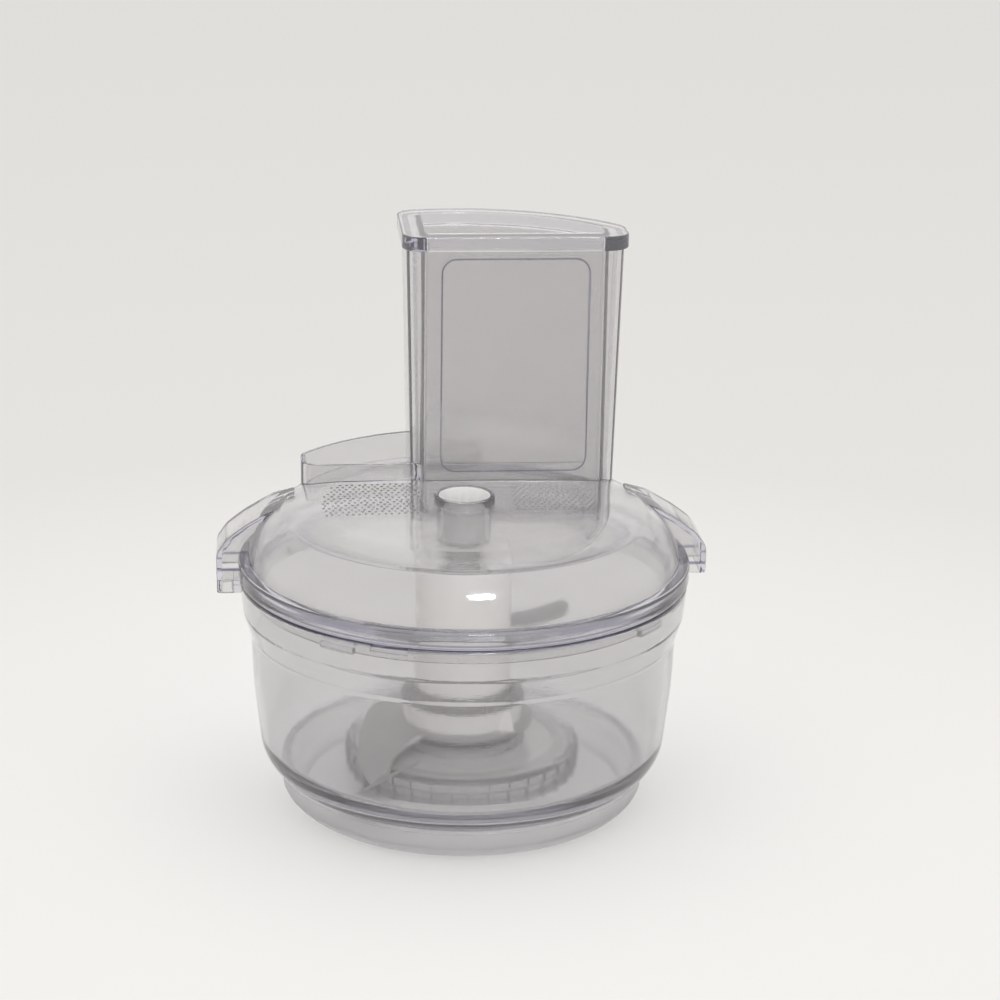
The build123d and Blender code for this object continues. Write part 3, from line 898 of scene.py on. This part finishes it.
# ------------------------------------------------------------------------------ lid and pusher
@dataclass(frozen=True)
class ChutePlan:
    """Plan of the chute: flat front, straight sides, and a back that follows the lid's edge."""

    width: float = 73.6
    front: float = 26.0
    back_r: float = 70.5
    middle: float = 19.7
    corner: float = 6.0

    def stops(self, inset: float) -> list[Stop]:
        """Draw the plan, each of its corners an arc.

        Args:
            inset: how far the outline stands inside the chute's outer face.

        Returns:
            The outline, which ends where it starts.
        """
        left = self.middle - self.width / 2 + inset
        right = self.middle + self.width / 2 - inset
        front, back, round_r = self.front + inset, self.back_r - inset, self.corner - inset
        reach = back - round_r
        right_y, left_y = ((reach**2 - x**2) ** 0.5 for x in (right - round_r, left + round_r))
        front_right, front_left = (right - round_r, front + round_r), (left + round_r, front + round_r)
        back_right, back_left = (right - round_r, right_y), (left + round_r, left_y)
        turn_right, turn_left = (degrees(atan2(y, x)) for x, y in (back_right, back_left))
        return [
            Stop(left + round_r, front),
            Stop(right - round_r, front),
            Stop(right, front + round_r, via=on_circle(round_r, -45, front_right)),
            Stop(right, right_y),
            Stop(*on_circle(back, turn_right), via=on_circle(round_r, turn_right / 2, back_right)),
            Stop(*on_circle(back, turn_left), via=on_circle(back, (turn_right + turn_left) / 2)),
            Stop(left, left_y, via=on_circle(round_r, (turn_left + 180) / 2, back_left)),
            Stop(left, front + round_r),
            Stop(left + round_r, front, via=on_circle(round_r, 225, front_left)),
        ]

    def block(self, name: str, inset: float, low: float, high: float) -> Workpiece:
        """Raise the plan into a straight block."""
        return Workpiece.drawn(name, self.stops(inset), View.PLAN, low).raise_to(high)


CHUTE_FOOT = ChutePlan()
CHUTE_MOUTH = ChutePlan(width=78.2, front=24.8, back_r=71.7)


@dataclass
class Lid:
    """The clear domed lid with its well, back pocket, ears, lugs and tapering feed chute."""

    crown_z: float = 110.0
    flat: Pair = (52.0, 109.35)
    wall: float = 2.2
    shoulder_centre: Pair = (53.24, 86.14)
    shoulder_r: float = 24.48
    edge_z: float = 90.6
    seat_z: float = 83.76
    skirt: Pair = (72.8, 74.6)
    lug_z: Pair = (77.6, 80.0)
    lug_r: float = 76.6
    lug_width: float = 10.0
    lug_azimuth: float = -128.0
    lug_count: int = 4
    pocket_left: float = -57.5
    pocket_right: float = 50.0
    pocket_wall: float = 1.8
    pocket_z: float = 116.0
    chute_z: Pair = (92.0, 195.0)
    chute_wall: float = 2.0
    panel: tuple[float, float, float, float] = (-6.8, 46.2, 113.0, 192.0)
    panel_corner: float = 5.3
    panel_depth: float = 0.8
    ear_y: Pair = (4.0, 25.0)
    ear_wall: float = 2.0
    well_r: Pair = (8.0, 9.6)
    well_rim_r: float = 10.9
    well_z: tuple[float, float, float] = (93.6, 108.0, 112.8)
    stipple_left: tuple[float, float, float, float] = (-54.0, -14.0, -12.0, 24.0)
    stipple_right: tuple[float, float, float, float] = (18.0, 46.0, -9.0, 24.0)
    dot_r: float = 0.7
    dot_pitch: Pair = (2.3, 2.6)
    dot_height: float = 0.32
    dot_stray: float = 0.35
    rim: Vector = field(default_factory=lambda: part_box("lid")[1] / MM)

    def shoulder(self, azimuth: float, inset: float) -> Pair:
        """Give a point of the dome's round shoulder, in section."""
        return on_circle(self.shoulder_r - inset, azimuth, self.shoulder_centre)

    def dome(self) -> Workpiece:
        """Turn the dome with its rim and the skirt that enters the bowl."""
        flat_r, flat_z = self.flat
        rim_r = self.rim.y
        inner, outer = self.skirt
        wall = self.wall
        section = [
            Stop(0.0, self.crown_z),
            Stop(flat_r, flat_z, via=(flat_r / 2, self.crown_z - 0.16)),
            Stop(*self.shoulder(60, 0), via=(59.6, 108.62)),
            Stop(77.3, self.edge_z, via=self.shoulder(35, 0)),
            Stop(rim_r - 1.2, self.edge_z - 0.3),
            Stop(rim_r, self.edge_z - 1.7, via=(rim_r - 0.3, self.edge_z - 0.75)),
            Stop(rim_r, self.seat_z, 1.3),
            Stop(outer, self.seat_z, 0.4),
            Stop(outer, self.lug_z[0], 0.5),
            Stop(inner, self.lug_z[0], 0.5),
            Stop(inner, 84.5, 1.6),
            Stop(75.0, 89.6),
            Stop(*self.shoulder(60, wall), via=self.shoulder(35, wall)),
            Stop(flat_r - 0.5, flat_z - wall, via=(58.7, 106.42)),
            Stop(0.0, self.crown_z - wall, via=(flat_r / 2, self.crown_z - wall - 0.16)),
        ]
        return Workpiece.drawn("lid_shell", section, closed=False).turn(192)

    def under_dome(self) -> Workpiece:
        """Turn the space below the middle of the dome's wall, which trims what stands on it."""
        half = self.wall / 2
        flat_r, flat_z = self.flat
        section = [
            Stop(0.0, self.crown_z - half),
            Stop(flat_r, flat_z - half, via=(flat_r / 2, self.crown_z - half - 0.16)),
            Stop(*self.shoulder(60, half), via=(59.2, 107.52)),
            Stop(*self.shoulder(10, half), via=self.shoulder(35, half)),
            Stop(79.0, self.edge_z - 1.2),
            Stop(79.0, 60.0),
            Stop(0.0, 60.0),
        ]
        return Workpiece.drawn("under_dome", section, closed=False).turn(96)

    def pocket(self) -> Workpiece:
        """Raise the thin wall of the back pocket, straight in front and curved behind."""
        back = CHUTE_FOOT.back_r

        def outline(inset: float) -> list[Stop]:
            """Draw the pocket's plan at an inset from its outer face."""
            left, right, radius = self.pocket_left + inset, self.pocket_right - inset, back - inset
            corner = 6.0 - inset
            reach = radius - corner
            left_y = (reach**2 - (left + corner) ** 2) ** 0.5
            turn = degrees(atan2(left_y, left + corner))
            right_y = (radius**2 - right**2) ** 0.5
            front = CHUTE_FOOT.front + inset
            return [
                Stop(left + corner, front),
                Stop(right, front),
                Stop(right, right_y),
                Stop(*on_circle(radius, turn), via=(0.0, radius)),
                Stop(left, left_y, via=on_circle(corner, (turn + 180) / 2, (left + corner, left_y))),
                Stop(left, front + corner),
                Stop(left + corner, front, via=on_circle(corner, 225, (left + corner, front + corner))),
            ]

        low = self.edge_z
        wall = Workpiece.drawn("pocket", outline(0.0), View.PLAN, low).raise_to(self.pocket_z)
        room = Workpiece.drawn("room", outline(self.pocket_wall), View.PLAN, low - 5)
        room.raise_to(self.pocket_z + 5)
        wall.fit(room, Joinery.CUT).round_sharp(0.5, 50)
        return wall.fit(self.under_dome(), Joinery.CUT)

    def ear(self, side: int) -> Workpiece:
        """Draw out one of the two finger ears, hollow from below.

        Args:
            side: -1 for the left one, 1 for the right one.

        Returns:
            The ear, trimmed to the dome and clear of the bowl's rim.
        """
        reach = self.rim.x
        front, back = self.ear_y
        wall = self.ear_wall
        outside = [
            (60, 108.4), (68, 106.4), (78, 100.5), (84.5, 95.6),
            (reach, 90), (reach, 80), (78, 80), (60, 98),
        ]
        stops = [Stop(side * x, z, 1.6 if 62 < x and z > 85 else 0.0) for x, z in outside]
        block = Workpiece.drawn("ear", stops, View.FRONT, front).raise_to(back).round_sharp(0.7, 50)
        tip = reach - wall
        inside = [(58, 107), (67.2, 104.4), (76.8, 98.6), (82.9, 94), (tip, 89.2), (tip, 78), (58, 78)]
        stops = [Stop(side * x, z, 1.0 if 60 < x and z > 85 else 0.0) for x, z in inside]
        hollow = Workpiece.drawn("hollow", stops, View.FRONT, front + wall).raise_to(back - wall)
        block.fit(hollow, Joinery.CUT).fit(self.under_dome(), Joinery.CUT)
        rim_r = self.rim.y + 0.1
        ring = [Stop(0.0, self.seat_z), Stop(rim_r, self.seat_z), Stop(rim_r, 70.0), Stop(0.0, 70.0)]
        return block.fit(Workpiece.drawn("rim_space", ring, closed=False).turn(96), Joinery.CUT)

    def splayed(self, name: str, inset: float, grow: float) -> Workpiece:
        """Raise a chute block and spread its top, so that it widens upwards.

        Args:
            name: the block's name.
            inset: how far it stands inside the chute's outer face.
            grow: how far it runs past both ends of the chute.

        Returns:
            The block.
        """
        low, high = self.chute_z[0] - grow, self.chute_z[1] + grow
        block = CHUTE_FOOT.block(name, inset, low, high)
        wide = CHUTE_MOUTH.width / CHUTE_FOOT.width
        deep = (CHUTE_MOUTH.back_r - CHUTE_MOUTH.front) / (CHUTE_FOOT.back_r - CHUTE_FOOT.front)
        pivot_y = (CHUTE_FOOT.front * deep - CHUTE_MOUTH.front) / (deep - 1)
        block.select_points(lambda co: co.z > (high - 1) * MM)
        with block.edit(Pick.POINTS):
            bpy.ops.transform.resize(
                value=(wide, deep, 1), center_override=(CHUTE_FOOT.middle * MM, pivot_y * MM, high * MM)
            )
        return block

    def chute(self) -> Workpiece:
        """Model the chute: a tapering tube with a shallow panel sunk into its front."""
        tube = self.splayed("chute", 0.0, 0.0)
        left, right, low, high = self.panel
        soft = self.panel_corner
        corners = [
            Stop(left, low, soft),
            Stop(right, low, soft),
            Stop(right, high, soft),
            Stop(left, high, soft),
        ]
        lean = (CHUTE_FOOT.front - CHUTE_MOUTH.front) / (self.chute_z[1] - self.chute_z[0])
        middle_z = (low + high) / 2
        front = CHUTE_FOOT.front - lean * (middle_z - self.chute_z[0])
        cutter = Workpiece.drawn("panel", corners, View.FRONT, front - 4).raise_to(front + self.panel_depth)
        cutter.select_edges(lambda a, b: min(a.y, b.y) > (front + self.panel_depth - 0.1) * MM)
        cutter.bevel_edges(self.panel_depth - 0.05, 2)
        cutter.select_points(lambda co: True)
        with cutter.edit(Pick.POINTS):
            bpy.ops.transform.rotate(
                value=-lean, orient_axis="X", center_override=(0, front * MM, middle_z * MM)
            )
        tube.fit(cutter, Joinery.CUT)
        return tube.fit(self.splayed("bore", self.chute_wall, 1.0), Joinery.CUT).round_sharp(0.35, 50)

    def lug(self, azimuth: float) -> Workpiece:
        """Model one bayonet lug on the skirt."""
        inner, outer = self.skirt[1] - 0.5, self.lug_r
        low, high = azimuth - self.lug_width / 2, azimuth + self.lug_width / 2
        stops = [
            Stop(*on_circle(outer, low)),
            Stop(*on_circle(outer, high), via=on_circle(outer, azimuth)),
            Stop(*on_circle(inner, high)),
            Stop(*on_circle(inner, low), via=on_circle(inner, azimuth)),
        ]
        lug = Workpiece.drawn("lug", stops, View.PLAN, self.lug_z[0])
        return lug.raise_to(self.lug_z[1]).round_sharp(0.35)

    def well(self) -> Workpiece:
        """Turn the well's solid post, rim and all."""
        low, _, high = self.well_z
        post_r = self.well_r[1]
        section = [
            Stop(0.0, low),
            Stop(post_r, low, 0.5),
            Stop(post_r, self.crown_z - 1.5),
            Stop(self.well_rim_r, self.crown_z - 1.5),
            Stop(self.well_rim_r, high, 0.6),
            Stop(0.0, high),
        ]
        return Workpiece.drawn("well", section, closed=False).turn(96)

    def well_bore(self) -> Workpiece:
        """Turn the space in the well: a bore that widens into a funnel."""
        low, bend, high = self.well_z
        bore_r = self.well_r[0]
        mouth_r = bore_r + (high - bend) * 0.325
        section = [
            Stop(0.0, low - 1),
            Stop(bore_r, low - 1),
            Stop(bore_r, bend),
            Stop(mouth_r, high),
            Stop(mouth_r + 0.4, high + 1),
            Stop(0.0, high + 1),
        ]
        return Workpiece.drawn("well_bore", section, closed=False).turn(96)

    def top_z(self, radius: float) -> float:
        """Give the height of the dome's nearly flat top at a radius."""
        flat_r, flat_z = self.flat
        return self.crown_z - (self.crown_z - flat_z) * (radius / flat_r) ** 2

    def stipple(self) -> Workpiece:
        """Model the two patches of raised dots on the dome's top, in staggered rows."""
        dot = [Stop(0.0, -0.3), Stop(self.dot_r, -0.3), Stop(self.dot_r * 0.45, self.dot_height)]
        dot.append(Stop(0.0, self.dot_height))
        model = Workpiece.drawn("stipple", dot, closed=False).turn(6)
        step_x, step_y = self.dot_pitch
        chance = Random(3)
        places = []
        for left, right, front, back in (self.stipple_left, self.stipple_right):
            for row in range(int((back - front) / step_y) + 1):
                y = front + row * step_y
                for column in range(int((right - left) / step_x) + 1):
                    x = left + (column + row % 2 / 2) * step_x + chance.uniform(-1, 1) * self.dot_stray
                    beside = y + chance.uniform(-1, 1) * self.dot_stray
                    radius = hypot(x, beside)
                    if radius < self.flat[0] - 1.0:
                        places.append(Matrix.Translation(Vector((x, beside, self.top_z(radius))) * MM))
        return model.repeated(places)

    def build(self, finishes: Finishes) -> None:
        """Model the lid and dress it."""
        shell = self.dome()
        shell.fit(self.stipple(), Joinery.ADD)
        shell.fit(self.well(), Joinery.ADD)
        shell.fit(self.pocket(), Joinery.ADD)
        for side in (-1, 1):
            shell.fit(self.ear(side), Joinery.ADD)
        shell.fit(self.splayed("chute_room", self.chute_wall - 0.5, 1.0), Joinery.CUT)
        shell.fit(self.well_bore(), Joinery.CUT)
        shell.fit(self.chute(), Joinery.ADD)
        for index in range(self.lug_count):
            shell.fit(self.lug(self.lug_azimuth + index * 360 / self.lug_count), Joinery.ADD)
        hand_over(shell, "lid", "lid", CLEAR, finishes.lid)


@dataclass
class Pusher:
    """The clear hollow pusher, with a flange that rests on the chute."""

    inset: float = 3.0
    wall: float = 1.8
    bottom_t: float = 2.5
    flange_z: float = 195.2
    flange_out: float = 1.6
    low: float = field(default_factory=lambda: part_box("pusher")[0].z / MM)
    high: float = field(default_factory=lambda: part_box("pusher")[1].z / MM)

    def build(self, finishes: Finishes) -> None:
        """Model the pusher and dress it."""
        cup = CHUTE_FOOT.block("pusher_shell", self.inset, self.low, self.high)
        cup.select_edges(lambda a, b: max(a.z, b.z) < (self.low + 0.1) * MM)
        cup.bevel_edges(2.0, 5)
        flange = CHUTE_MOUTH.block("flange", -self.flange_out, self.flange_z, self.high)
        cup.fit(flange, Joinery.ADD)
        room = CHUTE_FOOT.block("room", self.inset + self.wall, self.low + self.bottom_t, self.high + 5)
        room.select_edges(lambda a, b: max(a.z, b.z) < (self.low + self.bottom_t + 0.1) * MM)
        room.bevel_edges(1.0, 3)
        cup.fit(room, Joinery.CUT).round_sharp(0.6, 50, 3)
        hand_over(cup, "pusher", "pusher", CLEAR, finishes.pusher)


# ------------------------------------------------------------------------------ hub, blades and drive
@dataclass
class Blades:
    """The two blades, with a ground edge along the inside of each sickle."""

    grind: float = 0.9
    root_r: float = 25.6
    root_z: float = 29.4
    fall: float = 6.8 / 34.1
    tip_r: float = 57.2
    inner_azimuth: Pair = (228.0, 236.0)
    column_r: float = 17.4

    def on_lower_edge(self, point: Vector) -> bool:
        """Tell whether a point lies on the lower blade's upper inside edge."""
        x, y, z = point / MM
        radius = hypot(x, y)
        surface = self.root_z - max(0.0, radius - self.root_r) * self.fall
        azimuth = degrees(atan2(y, x)) % 360
        low, high = self.inner_azimuth
        return self.root_r < radius < self.tip_r and low < azimuth < high and z > surface - 0.4

    def on_upper_edge(self, point: Vector) -> bool:
        """Tell whether a point lies on the upper blade's upper inside edge."""
        x, y, z = point / MM
        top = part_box("upper_blade")[1].z / MM
        return hypot(x, y) > self.column_r and y - x > -6.0 and z > top - 0.1

    def build(self, finishes: Finishes) -> None:
        """Model both blades and dress them."""
        for name, node, test in (
            ("sickle_blade", "lower_blade", self.on_lower_edge),
            ("slicing_blade", "upper_blade", self.on_upper_edge),
        ):
            blade = Workpiece.copied(name, node)
            blade.select_edges(lambda a, b: test(a) and test(b))
            blade.bevel_edges(self.grind, 1)
            hand_over(blade, node, "drive", "steel", finishes.blade)


@dataclass
class Rivets:
    """The five tubular rivets that hold the clamp ring and the lower blade to the collar."""

    count: int = 5
    azimuth: float = -112.0
    radius: float = 19.9
    height: float = 40.25
    tilt: float = 33.2
    head_r: float = 2.5
    head_t: float = 1.0
    shank_r: float = 1.2
    shank: float = 4.6

    def rivet(self) -> Workpiece:
        """Turn one rivet about the drive axis, its head's underside at the origin."""
        section = [
            Stop(0.0, -self.shank),
            Stop(self.shank_r, -self.shank, 0.3),
            Stop(self.shank_r, -0.1),
            Stop(self.head_r, -0.1, 0.2),
            Stop(self.shank_r, self.head_t, via=(2.05, 0.72)),
            Stop(0.75, self.head_t - 0.65, 0.3),
            Stop(0.0, self.head_t - 0.75),
        ]
        return Workpiece.drawn("rivet", section, closed=False).turn(32)

    def build(self, finishes: Finishes) -> None:
        """Model one rivet, set its copies round the ring and join them."""
        places = []
        for index in range(self.count):
            azimuth = self.azimuth + index * 360 / self.count
            x, y = on_circle(self.radius, azimuth)
            lean = Matrix.Rotation(radians(azimuth), 4, "Z") @ Matrix.Rotation(radians(self.tilt), 4, "Y")
            places.append(Matrix.Translation(Vector((x, y, self.height)) * MM) @ lean)
        piece = self.rivet().repeated(places)
        hand_over(piece, "blade_rivets", "drive", "steel", finishes.turned)


@dataclass(frozen=True)
class Fitting:
    """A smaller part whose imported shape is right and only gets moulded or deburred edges."""

    name: str
    node: str
    body: str
    slot: str
    rounding: float
    finish: str


FITTINGS = (
    Fitting("grip_collar", "retaining_collar", "bowl", CLEAR, 0.25, "collar"),
    Fitting("bearing_cup", "bearing_housing", "bowl", CLEAR, 0.4, "cup"),
    Fitting("cup_gasket", "housing_gasket", "bowl", "seal_rubber", 0.2, "rubber"),
    Fitting("bush_below", "lower_bush", "bowl", "bush_plastic", 0.15, "bush"),
    Fitting("bush_above", "upper_bush", "bowl", "bush_plastic", 0.15, "bush"),
    Fitting("lip_seal", "shaft_seal", "bowl", "seal_rubber", 0.15, "rubber"),
    Fitting("hex_shaft", "drive_shaft", "drive", "steel", 0.15, "turned"),
    Fitting("shaft_clip", "retaining_clip", "drive", "steel", 0.12, "turned"),
    Fitting("shim_washer", "thrust_washer", "drive", "steel", 0.15, "turned"),
    Fitting("lobed_coupling", "drive_coupling", "drive", "coupling_plastic", 0.4, "nylon"),
    Fitting("column", "hub_column", "drive", "white_plastic", 0.4, "white"),
    Fitting("hex_insert", "hub_insert", "drive", "bush_bronze", 0.2, "bronze"),
    Fitting("spigot", "hub_spigot", "drive", "steel", 0.3, "turned"),
    Fitting("root_washer", "base_washer", "drive", "steel", 0.2, "turned"),
    Fitting("dished_ring", "clamp_ring", "drive", "steel", 0.2, "turned"),
    Fitting("wedge_collar", "blade_collar", "drive", "white_plastic", 0.45, "white"),
    Fitting("well_bush", "lid_bush", "bush", "bush_plastic", 0.2, "bush"),
)


def build_fittings(finishes: Finishes) -> None:
    """Model every smaller part and dress it."""
    for fitting in FITTINGS:
        piece = Workpiece.copied(fitting.name, fitting.node).round_sharp(fitting.rounding, 50)
        hand_over(piece, fitting.node, fitting.body, fitting.slot, getattr(finishes, fitting.finish))


# ------------------------------------------------------------------------------ studio
@dataclass
class Studio:
    """A pale floor with a painted pool of light round the object, soft light and the camera."""

    lens: float = 99.0
    distance: float = 978.0
    pitch: float = 18.1
    yaw: float = 4.5
    roll: float = 0.65
    aim_z: float = 110.5
    shift: float = 0.0355
    floor_size: float = 60.0
    far_clip: float = 100.0
    bounces: int = 48
    # painted light: the floor's grey is painted lighter near the object and darker further off, a painted
    # pool of light
    painted_light_pool_grey: float = 0.92
    floor_grey_outside_light_pool: float = 0.78
    painted_light_pool_reach: Pair = (70.0, 420.0)
    horizon: Colour = (1.0, 0.98, 0.955, 1.0)
    zenith: Colour = (0.88, 0.87, 0.85, 1.0)

    def camera(self) -> None:
        """Stand the camera in front, a little to the left, looking down."""
        flat = self.distance * cos(radians(self.pitch))
        aim = Vector((0.0, 0.0, self.aim_z)) * MM
        offset = Vector((
            -flat * sin(radians(self.yaw)),
            -flat * cos(radians(self.yaw)),
            self.distance * sin(radians(self.pitch)),
        )) * MM
        data = bpy.data.cameras.new("camera")
        data.lens = self.lens
        data.shift_x = self.shift
        data.clip_end = self.far_clip
        body = bpy.data.objects.new("camera", data)
        look = (-offset).to_track_quat("-Z", "Y").to_matrix().to_4x4()
        roll = Matrix.Rotation(radians(self.roll), 4, "Z")
        body.matrix_world = Matrix.Translation(aim + offset) @ look @ roll
        bpy.context.scene.collection.objects.link(body)
        bpy.context.scene.camera = body

    def floor(self) -> None:
        """Lay a large pale floor under the foot ring, painted lighter near it and darker further off, as a
        painted pool of light.
        """
        deselect()
        bpy.ops.mesh.primitive_plane_add(size=self.floor_size, location=(0, 0, 0))
        floor = bpy.context.active_object
        floor.name = "floor"
        graph = Graph("pale_floor_painted_light_pool")
        place = graph.place()
        reach = graph.add("ShaderNodeVectorMath", {"operation": "LENGTH"}, place)
        # painted light: lighter near the foot ring, darker with distance, as a painted pool of light
        low, high = self.painted_light_pool_reach
        away = graph.between(Wire(graph, reach.socket.node.outputs["Value"]), low * MM, high * MM)
        painted_light_pool = graph.blend(away, grey(self.painted_light_pool_grey, 0.006), grey(self.floor_grey_outside_light_pool, 0.006))
        graph.set(Base_Color=painted_light_pool, Roughness=0.9)
        dress(floor, graph.material)

    def air(self) -> None:
        """Fill the room with a soft light, paler towards the horizon than overhead."""
        world = bpy.data.worlds.new("soft_air")
        world.use_nodes = True
        nodes, links = world.node_tree.nodes, world.node_tree.links
        place = nodes.new("ShaderNodeTexCoord")
        split = nodes.new("ShaderNodeSeparateXYZ")
        ramp = nodes.new("ShaderNodeValToRGB")
        ramp.color_ramp.elements[0].color = self.horizon
        ramp.color_ramp.elements[1].color = self.zenith
        links.new(place.outputs["Generated"], split.inputs[0])
        links.new(split.outputs["Z"], ramp.inputs[0])
        links.new(ramp.outputs[0], nodes["Background"].inputs["Color"])
        bpy.context.scene.world = world

    def lamp(self, name: str, place: Vector, size: Pair, power: float) -> None:
        """Hang one soft rectangular lamp that points at the object.

        Args:
            name: the lamp's name.
            place: where it hangs, in metres.
            size: its width and height, in metres.
            power: its power, in watts.
        """
        data = bpy.data.lights.new(name, "AREA")
        data.shape = "RECTANGLE"
        data.size, data.size_y = size
        data.energy = power
        body = bpy.data.objects.new(name, data)
        aim = Vector((0.0, 0.0, self.aim_z * MM))
        look = (aim - place).to_track_quat("-Z", "Y").to_matrix().to_4x4()
        body.matrix_world = Matrix.Translation(place) @ look
        bpy.context.scene.collection.objects.link(body)

    def build(self) -> None:
        """Set the whole studio up."""
        scene = bpy.context.scene
        scene.view_settings.view_transform = "Standard"
        scene.cycles.max_bounces = self.bounces
        scene.cycles.transmission_bounces = self.bounces
        scene.cycles.volume_bounces = 2
        self.air()
        self.camera()
        self.floor()
        self.lamp("key", Vector((0.13, -1.2, 1.5)), (0.36, 0.24), 6.0)


def main() -> None:
    """Build the studio and every sub-assembly, in order."""
    logging.basicConfig(level=logging.INFO, format="%(message)s")
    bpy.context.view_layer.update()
    finishes = Finishes()
    Studio().build()
    Bowl().build(finishes)
    Lid().build(finishes)
    Pusher().build(finishes)
    Blades().build(finishes)
    Rivets().build(finishes)
    build_fittings(finishes)


if __name__ == "__main__":
    main()
